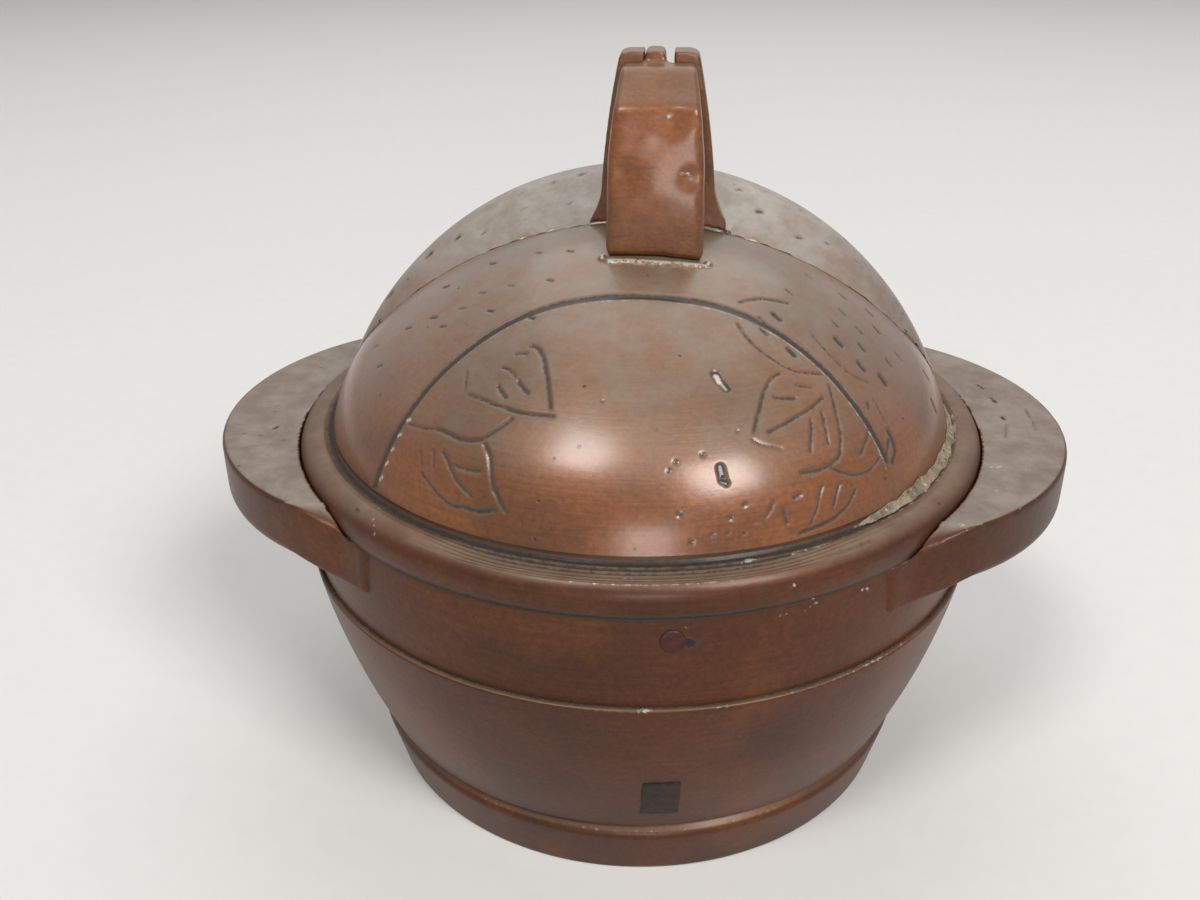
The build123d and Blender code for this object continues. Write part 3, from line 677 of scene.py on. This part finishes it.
# ------------------------------ lime scale
# Chalky scale and old polish, caked in the channel on the lid's right and up the foot of the dome.
# It dried there in crumbs, thin at both ends.
def caked_chalk(name):
    """Chalk in grains of 0.6 mm, yellow-grey to white, with dark pores: dry and matt."""
    material, tree, shader = new_material(name)
    spot = add_node(tree, "TexCoord").outputs["Object"]
    crumbs = add_node(tree, "TexNoise", {
        "Vector": spot, "Scale": 1 / (0.6 * MM), "Detail": 4.0, "Roughness": 0.7})
    stains = add_node(tree, "TexNoise", {"Vector": spot, "Scale": 1 / (2.5 * MM), "Detail": 3.0})
    share = add_node(tree, "MapRange", {"Value": stains, "From Min": 0.42, "From Max": 0.6})
    tone = add_node(tree, "MixRGB", {"Fac": share, "Color1": srgb("#8f8069"), "Color2": srgb("#6f6350")})
    share = add_node(tree, "MapRange", {"Value": crumbs, "From Min": 0.57, "From Max": 0.7, "To Max": 0.7})
    tone = add_node(tree, "MixRGB", {"Fac": share, "Color1": tone, "Color2": srgb("#d0c8b8")})
    share = add_node(tree, "MapRange", {
        "Value": crumbs, "From Min": 0.33, "From Max": 0.44, "To Min": 1.0, "To Max": 0.0})
    tone = add_node(tree, "MixRGB", {"Fac": share, "Color1": tone, "Color2": srgb("#3e3026")})
    bump = add_node(tree, "Bump", {"Height": crumbs, "Strength": 0.8, "Distance": 0.3 * MM})
    set_inputs(tree, shader, {"Base Color": tone, "Roughness": 0.85, "Normal": bump})
    return material


scale_outline = [
    (36.75, 43.0), (36.65, 43.15), (36.5, 43.27), (36.35, 43.36), (36.2, 43.45), (36.05, 43.58),
    (35.93, 43.75), (35.85, 43.95), (35.75, 44.1), (35.6, 44.15), (35.5, 44.0), (35.45, 43.4),
    (35.9, 42.8), (36.3, 42.7), (36.75, 43.0),
]
scale_start, scale_end, scale_taper = -52, 6, 14
scale_root, scale_foot = 35.95, 43.0
scale = spun("lime_scale", scale_outline, 260, scale_end - scale_start)
places = vertex_places(scale)
turn = np.degrees(np.arctan2(places[:, 1], places[:, 0]))
turn += scale_start - turn.min()
radius = np.hypot(places[:, 0], places[:, 1])
# thin at both ends and lumpy along its run
girth = np.clip(np.minimum(turn - scale_start, scale_end - turn) / scale_taper, 0, 1) ** 0.6
girth *= 0.8 + 0.2 * np.sin(turn * 0.9) * np.sin(turn * 0.37 + 1)
radius = scale_root + (radius - scale_root) * girth
places[:, 2] = scale_foot + (places[:, 2] - scale_foot) * girth
places[:, 0] = radius * np.cos(np.radians(turn))
places[:, 1] = radius * np.sin(np.radians(turn))
place_vertices(scale, places)
deselect()
bpy.context.view_layer.objects.active = scale
bpy.ops.object.mode_set(mode="EDIT")
bpy.ops.mesh.select_all(action="SELECT")
bpy.ops.mesh.remove_doubles(threshold=1e-5)
bpy.ops.mesh.normals_make_consistent(inside=False)
bpy.ops.object.mode_set(mode="OBJECT")
uneven(scale, 0.12, 0.5)
smooth(scale, 60)
finish(scale, caked_chalk("caked_chalk"), "lid", "bronze")


# ------------------------------ front and rear lobes
# Two thin domed shells of bronze meet along a crease across the lid: the front one low and round,
# the rear one higher. Both are polished by hand and chased with an arc, leaf strokes and dots.
ball_radius, ball_height = 37.0, 33.91
cap_radius, cap_height = 43.28, 21.72
rear_shift = 26.0
front_knee, rear_knee = 18.0, 6.0
shell_wall, rim_level = 2.0, 43.6
crease_bevel = 0.45


def dome_outline(shift, wall):
    """The ball flattened by a larger sphere, outside then inside, along their common axis (mm)."""
    gap = math.hypot(shift, ball_height - cap_height)
    path = []
    for inset in (0, wall):
        cap = math.hypot(cap_radius, shift) - inset
        ball = ball_radius - inset
        knee = (rear_knee if shift else front_knee) - inset
        level = ((cap - knee) ** 2 - (ball - knee) ** 2 - gap ** 2) / (2 * gap)
        side = math.sqrt((ball - knee) ** 2 - level ** 2)
        first, second = math.atan2(side, level + gap), math.atan2(side, level)
        # the ball runs on below the rim, where the shell is cut off
        end = math.pi * 0.85
        arcs = [(0, -gap, cap, 0, first), (side, level, knee, first, second), (0, 0, ball, second, end)]
        run = []
        for r, z, size, a, b in arcs:
            count = math.ceil(size * (b - a) / 0.7)
            turns = [a + (b - a) * k / count for k in range(count + 1)]
            run += [(r + size * math.sin(t), z + size * math.cos(t)) for t in turns]
        path += run if inset == 0 else run[::-1]
    return [p for k, p in enumerate(path) if k == 0 or math.dist(p, path[k - 1]) > 1e-4]


def lobe(name, shift):
    """A spun dome, tipped on its axis, cut along the crease and at the rim, and its crease edge eased."""
    piece = spun(name, dome_outline(shift, shell_wall), 288)
    piece.rotation_euler.x = math.atan2(shift, ball_height - cap_height)
    piece.location.z = ball_height * MM
    bpy.ops.object.transform_apply(location=True, rotation=True)
    bpy.ops.object.mode_set(mode="EDIT")
    side = 1 if shift else -1
    bpy.ops.mesh.select_all(action="SELECT")
    bpy.ops.mesh.bisect(plane_co=(0, 0, 0), plane_no=(0, side, 0), use_fill=True, clear_inner=True)
    bpy.ops.mesh.select_all(action="SELECT")
    bpy.ops.mesh.bisect(plane_co=(0, 0, rim_level * MM), plane_no=(0, 0, 1), use_fill=True, clear_inner=True)
    bpy.ops.mesh.select_all(action="DESELECT")
    bpy.ops.object.mode_set(mode="OBJECT")
    for edge in piece.data.edges:
        ends = [piece.data.vertices[k].co for k in edge.vertices]
        on_crease = all(abs(end.y) < 1e-6 for end in ends)
        outside = all(
            math.hypot(end.x, end.z - cap_height * MM) > (cap_radius - 0.3) * MM
            or math.hypot(end.x, end.z - ball_height * MM) > (ball_radius - 0.9) * MM
            for end in ends
        )
        edge.select = on_crease and outside and max(end.z for end in ends) > (rim_level + 0.05) * MM
    bpy.ops.object.mode_set(mode="EDIT")
    bpy.ops.mesh.select_mode(type="EDGE")
    bpy.ops.mesh.bevel(offset=crease_bevel * MM, segments=3)
    bpy.ops.mesh.select_mode(type="VERT")
    bpy.ops.object.mode_set(mode="OBJECT")
    return piece


def on_dome(piece, points):
    """Drops flat points (x, y) onto the outside of a lobe; one past its foot keeps to the ball."""
    placed = []
    for x, y in points:
        found, spot, _, _ = piece.ray_cast(Vector((x * MM, y * MM, 0.1)), Vector((0, 0, -1)))
        level = spot.z / MM if found else ball_height + math.sqrt(max(ball_radius ** 2 - x * x - y * y, 0))
        placed.append((x, y, level))
    return placed


def flowing(points, passes=2):
    """Cuts the corners of a path, so that it runs on in one curve."""
    for _ in range(passes):
        cut = [points[0]]
        for a, b in zip(points, points[1:]):
            cut += [tuple(p + (q - p) * part for p, q in zip(a, b)) for part in (0.25, 0.75)]
        points = cut + [points[-1]]
    return points


chased_arc = [
    (-26.7, -24.2), (-25.3, -24.2), (-24.1, -23.5), (-22.6, -22.5), (-20.2, -20.7), (-17.2, -19.2),
    (-14.3, -17.9), (-11.3, -16.9), (-7.3, -16.2), (-3.2, -15.9), (0.8, -15.8), (4.8, -15.8),
    (8.9, -15.8), (11.9, -16.2), (15.0, -16.8), (19.0, -18.2), (22.1, -19.9), (24.1, -21.2), (25.9, -22.3),
]
leaf_strokes = [
    (0.16, [(-9.7, -20.8), (-9.0, -21.2), (-8.4, -22.2), (-8.0, -23.5), (-7.7, -24.6), (-7.5, -25.7),
            (-7.2, -27.1)]),
    (0.08, [(-15.7, -23.8), (-14.4, -24.6), (-13.1, -25.5), (-11.8, -26.2)]),
    (0.15, [(-11.8, -26.2), (-10.6, -26.8), (-9.2, -27.3), (-6.9, -27.8)]),
    (0.1, [(-11.2, -21.3), (-10.1, -21.5)]), (0.16, [(-10.7, -24.1), (-10.4, -24.6), (-9.6, -25.4)]),
    (0.07, [(-12.5, -22.3), (-11.6, -22.8), (-11.0, -23.6)]),
    (0.14, [(-12.7, -24.0), (-12.3, -24.7), (-11.8, -25.3)]),
    (0.05, [(-22.1, -23.3), (-20.8, -24.4), (-18.6, -25.6)]),
    (0.15, [(-18.6, -25.6), (-17.6, -26.3), (-16.4, -27.2), (-15.2, -27.8), (-14.0, -28.1), (-13.3, -28.0),
            (-12.4, -27.8), (-11.0, -27.3)]),
    (0.14, [(-13.5, -28.6), (-13.0, -29.3), (-12.8, -30.0), (-12.6, -30.8), (-12.4, -31.5)]),
    (0.2, [(-12.3, -31.6), (-11.9, -32.0), (-11.6, -32.4), (-11.1, -32.9)]),
    (0.15, [(-20.1, -27.7), (-19.5, -28.4), (-18.6, -29.3), (-17.7, -30.1), (-16.5, -30.9), (-15.3, -31.4)]),
    (0.24, [(-15.3, -31.4), (-14.7, -31.7), (-13.6, -32.2), (-12.3, -32.5)]),
    (0.15, [(-17.8, -27.6), (-17.3, -28.3), (-16.6, -29.4), (-15.9, -30.2), (-14.7, -31.1)]),
    (0.13, [(-16.5, -28.9), (-15.7, -29.4), (-13.8, -30.2)]), (0.08, [(-18.9, -27.0), (-18.8, -28.0)]),
    (0.06, [(-20.4, -26.3), (-20.1, -27.4)]), (0.04, [(-16.2, -21.4), (-16.2, -23.1)]),
    (0.1, [(10.7, -17.5), (11.3, -18.5), (12.2, -19.4), (13.4, -20.0), (14.5, -20.3), (15.7, -20.5),
           (16.9, -20.3), (19.4, -19.1)]),
    (0.11, [(14.8, -21.4), (14.0, -22.2), (13.5, -23.1), (13.1, -24.2), (12.8, -25.4), (12.5, -26.5),
            (12.3, -27.5)]),
    (0.16, [(14.3, -23.9), (15.2, -23.6), (16.4, -23.1)]), (0.1, [(16.5, -21.8), (18.1, -21.2)]),
    (0.12, [(13.7, -27.0), (14.8, -26.2), (15.9, -25.2), (17.2, -24.0), (18.2, -22.9), (19.2, -21.6)]),
    (0.04, [(12.1, -28.1), (13.0, -28.2), (14.9, -27.8)]),
    (0.1, [(17.9, -24.3), (17.9, -25.3), (17.8, -26.8)]),
    (0.12, [(19.0, -23.1), (19.3, -24.0), (19.6, -25.3)]),
    (0.13, [(19.9, -20.0), (20.2, -21.1), (20.4, -21.9), (20.7, -22.9), (20.9, -23.8), (20.9, -24.7),
            (20.8, -25.5), (20.2, -26.3), (19.3, -27.1), (18.5, -27.7), (16.9, -28.6)]),
    (0.14, [(19.9, -26.8), (20.9, -26.5), (22.2, -25.9), (23.4, -25.0), (24.3, -24.0), (24.9, -23.1),
            (25.4, -22.2)]),
    (0.14, [(24.0, -19.0), (24.1, -19.5)]), (0.13, [(23.9, -21.8), (23.5, -23.0), (22.9, -24.2)]),
    (0.06, [(24.7, -18.1), (25.3, -18.8), (25.9, -19.4)]),
    (0.3, [(26.2, -19.9), (26.8, -20.3), (27.0, -20.8), (26.6, -21.8)]),
    (0.2, [(26.2, -20.6), (25.9, -22.0)]),
    (0.15, [(22.5, -26.4), (22.2, -26.9), (21.7, -27.7), (20.9, -28.5), (20.1, -29.2), (18.7, -30.2),
            (16.9, -31.3)]),
    (0.11, [(19.0, -28.3), (18.7, -28.9), (18.6, -29.5), (18.2, -30.1), (17.9, -30.5)]),
    (0.17, [(20.7, -27.3), (20.5, -27.8), (20.2, -28.6)]),
    (0.05, [(14.2, -31.2), (13.9, -31.7), (13.5, -32.1)]),
    (0.08, [(18.5, -15.1), (19.7, -16.1), (21.2, -16.9)]),
    (0.06, [(21.8, -17.1), (22.8, -17.2), (24.2, -16.7)]),
    (0.1, [(10.9, -14.5), (12.2, -13.5), (13.4, -12.7), (14.4, -12.4), (16.0, -11.9)]),
]
casting_pits = [
    (0.4, [(9.1, -30.8), (9.4, -31.5)]), (0.3, [(9.7, -31.6)]), (0.5, [(8.5, -23.6), (8.9, -24.1)]),
    (0.45, [(8.9, -24.1), (9.6, -24.6)]), (0.14, [(16.2, -30.2), (16.8, -29.8)]), (0.14, [(11.5, -32.2)]),
    (0.16, [(10.2, -33.1)]), (0.16, [(15.2, -31.2), (15.6, -31.5)]), (0.08, [(10.7, -27.9)]),
    (0.08, [(12.3, -28.1)]), (0.12, [(10.0, -33.7)]), (0.14, [(11.5, -33.3)]), (0.2, [(4.9, -31.2)]),
    (0.14, [(4.3, -31.8)]), (0.17, [(7.4, -30.3)]), (0.22, [(5.4, -33.9)]), (0.14, [(6.6, -34.7)]),
    (0.16, [(8.5, -34.1)]), (0.1, [(12.5, -32.6)]), (0.08, [(-2.2, -27.0)]), (0.08, [(-14.8, -33.1)]),
    (0.07, [(3.1, -29.1)]), (0.07, [(-5.6, -33.4)]),
]
front_dots = [
    (0.32, 14.7, -14.7), (0.12, 13.2, -15.9), (0.3, 16.1, -18.5), (0.2, 13.4, -17.4), (0.34, 21.3, -13.9),
    (0.22, 23.9, -12.4), (0.3, 23.6, -15.2), (0.36, 26.0, -14.8), (0.14, 27.0, -11.5), (0.12, 23.8, -9.8),
    (0.12, 21.1, -11.4), (0.2, 25.6, -4.1), (0.14, 22.1, -8.4), (0.16, 22.5, -4.6), (0.12, 16.3, -9.8),
    (0.16, 26.1, -7.1), (0.1, 28.4, -8.8), (0.14, 32.1, -6.2), (0.2, 32.6, -9.7), (0.1, 18.7, -4.3),
    (0.2, -15.9, -5.1), (0.2, -21.1, -5.7), (0.2, -21.5, -11.3), (0.12, -10.7, -5.9), (0.14, -7.1, -7.0),
    (0.1, -13.0, -11.5), (0.12, -8.7, -12.2), (0.1, -18.1, -12.4), (0.14, -14.7, -14.7), (0.1, -16.1, -11.0),
    (0.24, -10.2, -17.3), (0.14, -20.0, -13.8), (0.14, -24.6, -10.2), (0.12, -27.4, -13.1),
    (0.1, -29.0, -8.1),
]
lid_bronze = patinated_bronze(
    "patinated_bronze_chased", "#7c4721", "#5c3518", "#898171", dust_and_sheen_share=0.7, dullness=0.38, wax=0.7)
front = lobe("front_lobe_chased", 0.0)
uneven(front, 0.12, 13)
arc = flowing(chased_arc)
lip = [(x, y - 0.5) for x, y in arc]
strokes = [(0.42, on_dome(front, arc))]
# a dark line along the front foot of the handle is painted shade in the gap under it
strokes += [(0.3, on_dome(front, [(-3.6, -9.6), (7.6, -9.6)]))]
strokes += [(size + 0.04, on_dome(front, flowing(path, 1))) for size, path in leaf_strokes + casting_pits]
strokes += [(size, on_dome(front, [(x - 0.3, y + 0.2), (x + 0.3, y - 0.2)])) for size, x, y in front_dots]
refine(front, strokes, 0.8)
refine(front, strokes, 0.3)
mark(front, "tooling_and_shade", strokes, 0.13)
# the arc's raised lip is painted pale as a highlight, with painted glints in chatter marks at its left end;
# a few pale marks also lie in the big pit and beside leaf strokes
chatter_glints = [(0.16, [(x - 0.1, y - 0.05), (x + 0.25, y - 0.25)]) for x, y in lip[::2] if x < -21.5]
worn_and_highlights = chatter_glints + [
    (-0.06, [p for p in lip if -21 <= p[0] < -4]), (0.0, [p for p in lip if -4 <= p[0] < 12]),
    (0.04, [p for p in lip if p[0] >= 13]), (0.26, [(8.5, -23.7), (8.9, -24.1)]),
    (0.12, [(9.0, -24.2), (9.5, -24.6)]), (-0.12, [(-16.9, -23.1), (-17.4, -24.0), (-18.1, -24.8)]),
    (-0.14, flowing([(-16.0, -23.7), (-13.2, -25.2)])),
]
mark(front, "rubbed", [(size, on_dome(front, path)) for size, path in worn_and_highlights])
# solder round the foot of the handle, its pale crust partly a painted reflection, and crumbs of lime
solder = flowing([
    (-3.5, -9.2), (-3.2, -10.0), (-1.0, -10.2), (2.0, -10.4), (5.5, -10.2), (7.4, -9.9), (7.7, -9.2),
])
caked = [
    (0.36, solder), (0.14, [(9.4, -31.3)]), (0.0, [(14.5, -32.0)]), (0.05, [(21.2, -27.1)]),
    (0.0, [(25.3, -22.4), (25.6, -22.9)]),
]
mark(front, "crust", [(size, on_dome(front, path)) for size, path in caked], -0.3)
smooth(front, 40)
finish(front, lid_bronze, "lid", "bronze", "front_lobe")

# dots in uneven rows over the rear lobe, none behind the handle
dot_pitch, row_pitch, row_offset, first_row = 4.3, 3.9, 2.1, 3.4
dotted_radius, handle_middle, handle_half = 32.5, 2, 7.5
rear_dots = []
for row in range(7):
    for k in range(-7, 8):
        x = dot_pitch * k + (row_offset if row % 2 else 0) + 0.9 * math.sin(5 * k + 3 * row)
        y = first_row + row_pitch * row + 0.8 * math.cos(4 * k + row)
        if math.hypot(x, y) < dotted_radius and abs(x - handle_middle) > handle_half:
            rear_dots.append((0.16 + 0.12 * math.sin(7 * k + 2 * row), x, y))
# grey dust over the rear lobe, which is also a painted sheen of the pale room behind it
rear_bronze = patinated_bronze(
    "patinated_bronze_dust_and_sheen", "#74482a", "#5a371f", "#a19b91",
    dust_and_sheen_share=1.0, dullness=0.42, wax=0.6, dust_and_sheen_from=0.3)
rear = lobe("rear_lobe_chased", rear_shift)
uneven(rear, 0.12, 13)
strokes = [(size, on_dome(rear, [(x - 0.3, y), (x + 0.3, y + 0.2)])) for size, x, y in rear_dots]
refine(rear, strokes, 0.6)
mark(rear, "tooling_and_shade", strokes, 0.12)
mark(rear, "crust", [
    (0.45, on_dome(rear, [(9.9, 0.5), (10.2, 1.1)])), (0.1, on_dome(rear, [(-6.0, 0.4), (-6.0, 2.0)])),
], -0.3)
smooth(rear, 40)
finish(rear, rear_bronze, "lid", "bronze", "rear_lobe")


# ------------------------------ handle
# Two cast straps soldered to the crown and joined at the top: the front one bowed, with a dented
# waist, hooked over a notch in the rear one. Their edges are worn round and their faces rubbed.
handle_bronze = patinated_bronze(
    "patinated_bronze_rubbed", "#774420", "#5b3517", "#7d6a54", dust_and_sheen_share=0.5, dullness=0.42, wax=0.5)
shank_top = 76.8
dents = (
    ((-1.5, -9.0, 72.6), 1.6, 0.35), ((5.6, -9.0, 72.2), 1.2, 0.3), ((3.6, -8.0, 77.9), 1.4, 0.3),
    ((1.5, -9.3, 70.4), 3.0, -0.15),
)


def on_face(piece, points):
    """Lays flat points (x, z) on the front of a piece."""
    hits = [piece.ray_cast(Vector((x * MM, -0.05, z * MM)), Vector((0, 1, 0))) for x, z in points]
    return [tuple(spot / MM) for found, spot, _, _ in hits if found]


for node, passes in (("handle_front_arm", 38), ("handle_rear_arm", 8)):
    arm = softened(node + "_rubbed", node, 0.2, passes)
    if node == "handle_front_arm":
        shank = arm.vertex_groups.new(name="shank")
        shank.add([v.index for v in arm.data.vertices if v.co.z < shank_top * MM], 1.0, "REPLACE")
        rub_soft(arm, 60, shank.name)
        places = vertex_places(arm)
        for spot, reach, depth in dents:
            gap = np.linalg.norm(places - np.array(spot), axis=1)
            places[:, 1] += depth * np.exp(-(gap / reach) ** 2)
        place_vertices(arm, places)
        uneven(arm, 0.14, 4)
        mark(arm, "tooling_and_shade", [
            (0.05, on_face(arm, [(-1.7, 73.4), (0.2, 73.1), (2.1, 73.3)])),
            (0.0, on_face(arm, [(2.6, 78.1), (3.6, 77.9)])), (0.1, on_face(arm, [(4.6, 72.9), (5.6, 72.5)])),
            (0.1, on_face(arm, [(-3.0, 63.5), (2.0, 63.2), (7.2, 63.5)])),
        ])
        mark(arm, "crust", [
            (0.3, on_face(arm, [(4.8, 72.7), (5.4, 72.5)])), (0.15, on_face(arm, [(3.2, 78.0)])),
        ])
    smooth(arm, 60)
    finish(arm, handle_bronze, "lid", "bronze", node)


# ------------------------------ floor
# A pale matt tabletop, of sprayed board, that keeps the object's shadow.
deselect()
bpy.ops.mesh.primitive_plane_add(size=6, location=(0, 1.2, 0))
floor = bpy.context.object
floor.name = "tabletop"
board, tree, shader = new_material("sprayed_board")
spot = add_node(tree, "TexCoord").outputs["Object"]
stipple = add_node(tree, "TexNoise", {"Vector": spot, "Scale": 1 / (3 * MM), "Detail": 3.0})
tone = add_node(tree, "MixRGB", {"Fac": stipple, "Color1": srgb("#dddbd7"), "Color2": srgb("#e2e0dc")})
set_inputs(tree, shader, {"Base Color": tone, "Roughness": 1.0, "Specular IOR Level": 0.05})
floor.data.materials.append(board)


# ------------------------------ light and camera
# A pale room with a wide soft lamp over the object, a window high up on each side behind the
# viewer and a low one straight behind. The camera looks down from in front.
def lamp(name, place, target, width, power):
    """A square soft lamp at a place, aimed at a target (both in m), `width` m wide and `power` W."""
    bpy.ops.object.light_add(type="AREA", location=place)
    made = bpy.context.object
    made.name = name
    made.rotation_euler = (Vector(target) - Vector(place)).to_track_quat("-Z", "Y").to_euler()
    made.data.size = width
    made.data.energy = power


lamp("overhead", (0.02, 0.42, 0.74), (0, 0, 0.03), 0.8, 2.2)
lamp("left_window", (-0.43, -0.808, 1.404), (0, 0, 0.05), 0.44, 10.0)
lamp("right_window", (0.782, -0.968, 1.126), (0, 0, 0.05), 0.56, 17.6)
lamp("low_window", (0.18, -1.68, 0.22), (0, 0, 0.06), 0.5, 6.2)
room = bpy.data.worlds.new("pale_room")
bpy.context.scene.world = room
room.use_nodes = True
tree = room.node_tree
seen = add_node(tree, "LightPath")
direct = seen.outputs["Is Camera Ray"]
for ray in ("Is Glossy Ray", "Is Transmission Ray"):
    direct = add_node(tree, "Math", {0: direct, 1: seen.outputs[ray]}, operation="MAXIMUM")
tone = add_node(tree, "MixRGB", {"Fac": direct, "Color1": srgb("#7c7d7e"), "Color2": srgb("#d2d2d2")})
set_inputs(tree, tree.nodes["Background"], {"Color": tone, "Strength": 1.0})

camera_place = (5.70 * MM, -130.48 * MM, 103.3 * MM)
camera_turn, camera_dip, camera_roll = 4.52, 27.09, -0.50
bpy.ops.object.camera_add()
camera = bpy.context.object
camera.data.lens = 36
camera.data.sensor_width = 36
camera.data.clip_start = 0.01
camera.matrix_world = (
    Matrix.Translation(camera_place)
    @ Matrix.Rotation(math.radians(camera_turn), 4, "Z")
    @ Matrix.Rotation(math.radians(90 - camera_dip), 4, "X")
    @ Matrix.Rotation(math.radians(camera_roll), 4, "Z")
)
bpy.context.scene.camera = camera
bpy.context.scene.view_settings.view_transform = "Standard"
